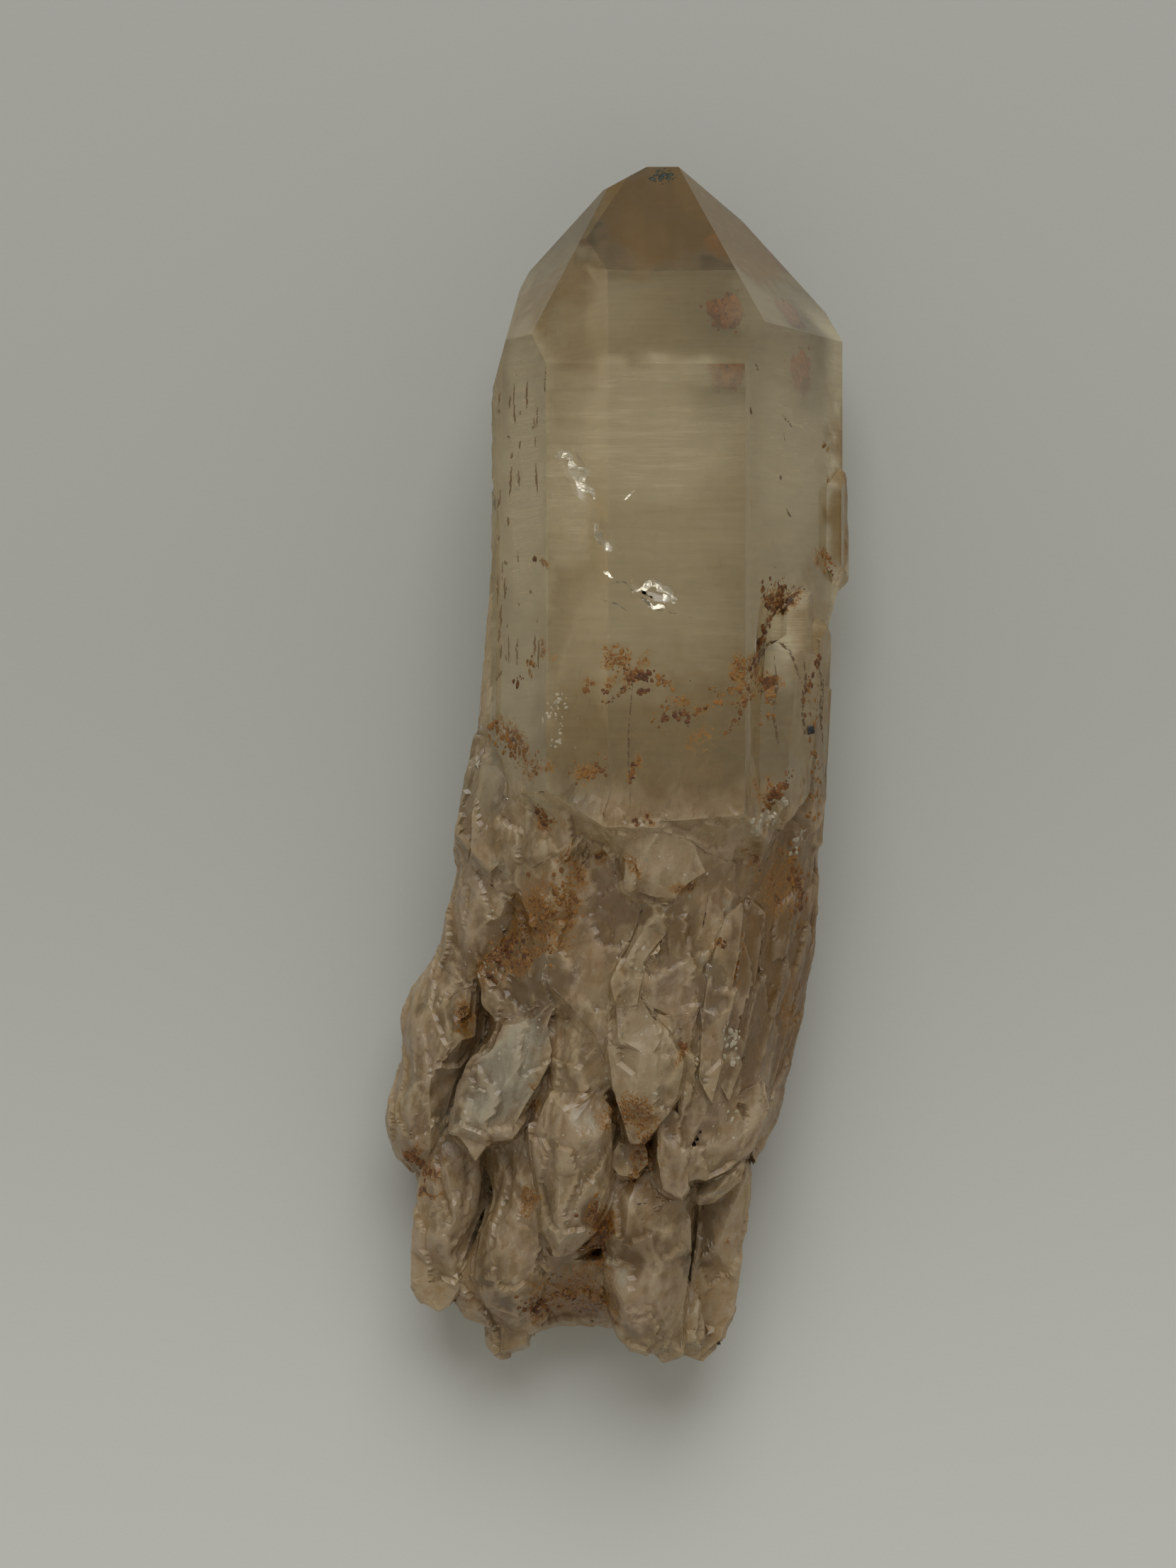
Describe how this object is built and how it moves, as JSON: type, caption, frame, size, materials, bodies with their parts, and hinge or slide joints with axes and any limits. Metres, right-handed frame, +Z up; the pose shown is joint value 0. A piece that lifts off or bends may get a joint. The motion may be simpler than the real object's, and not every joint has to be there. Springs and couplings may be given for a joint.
{
  "type": "citrine crystal",
  "caption": "Clear smoky-yellow quartz prism with a six-faced point, grown together with a rough fan of etched side crystals at its foot, lying on one prism face.",
  "frame": {"origin": "under the middle of the bounding box, on the surface that the crystal lies on", "axes": "+Y along the crystal towards its point, +Z up from the surface, +X to the right seen from above with the point away"},
  "size_m": [0.043, 0.1104, 0.027],
  "materials": {
    "citrine": "clear and glossy on the prism, frosted and rust-stained on the side crystals"
  },
  "bodies": {
    "root": {"citrine_crystal": "citrine"}
  },
  "joints": []
}
